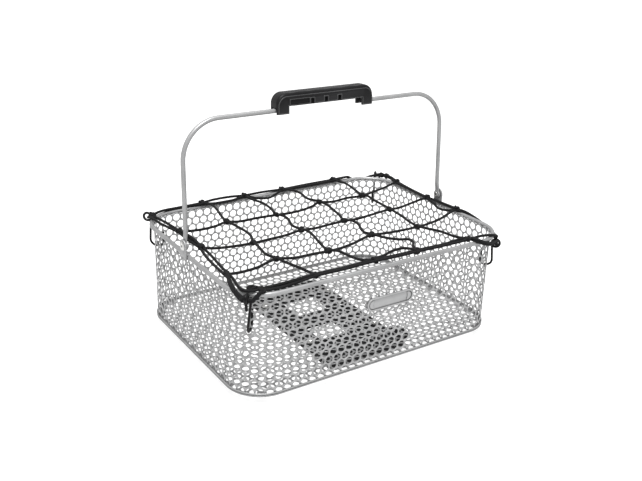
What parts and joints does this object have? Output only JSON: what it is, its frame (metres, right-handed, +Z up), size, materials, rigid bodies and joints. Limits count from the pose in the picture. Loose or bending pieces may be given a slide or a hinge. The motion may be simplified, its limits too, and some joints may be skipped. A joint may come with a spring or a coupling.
{
  "type": "bicycle carrier basket",
  "caption": "Perforated steel carrier basket with a folding bail handle, elastic cord net, corner hooks and a rack adapter under its floor.",
  "frame": {"origin": "middle of the object's footprint, on the underside of the rack adapter", "axes": "+Z up, +X along the basket's long side, +Y towards the back wall; the badge is on the -Y wall"},
  "size_m": [0.4206, 0.3068, 0.338],
  "materials": {
    "coated_steel": "satin silver-grey powder coat",
    "badge_metal": "satin silver-grey, blank field",
    "fastener_steel": "zinc-plated",
    "grip_plastic": "black, moulded, lightly glossy",
    "adapter_plastic": "black, moulded",
    "elastic_cord": "braided sheath over rubber, black",
    "hook_wire": "black plastic-dipped wire"
  },
  "bodies": {
    "basket": {"adapter_nuts": "fastener_steel", "adapter_plate": "adapter_plastic", "adapter_screws": "fastener_steel", "adapter_washers": "fastener_steel", "badge_plate": "badge_metal", "base_hem": "coated_steel", "floor_mesh": "coated_steel", "hook_back_left": "hook_wire", "hook_back_right": "hook_wire", "hook_front_left": "hook_wire", "hook_front_right": "hook_wire", "net_border_back": "elastic_cord", "net_border_front": "elastic_cord", "net_border_left": "elastic_cord", "net_border_right": "elastic_cord", "net_knots_border": "elastic_cord", "net_knots_inner": "elastic_cord", "net_long_1": "elastic_cord", "net_long_2": "elastic_cord", "net_long_3": "elastic_cord", "net_short_1": "elastic_cord", "net_short_2": "elastic_cord", "net_short_3": "elastic_cord", "net_short_4": "elastic_cord", "pivot_rivet_left": "fastener_steel", "pivot_rivet_right": "fastener_steel", "pivot_strap_left": "coated_steel", "pivot_strap_right": "coated_steel", "rim_rod": "coated_steel", "wall_mesh": "coated_steel"},
    "handle": {"bail": "coated_steel", "grip_shell": "grip_plastic"},
    "release": {"release_tab": "adapter_plastic"}
  },
  "joints": [
    {"name": "bail_swing", "type": "hinge", "parent": "basket", "child": "handle", "pos_m": [0, 0, 0.161], "axis": [1, 0, 0], "range_deg": [-84.3, 89.7]},
    {"name": "release_press", "type": "slide", "parent": "basket", "child": "release", "axis": [-1, 0, 0], "range_m": [0, 0.006], "stiffness_N_per_m": 800, "springref_m": -0.003}
  ]
}
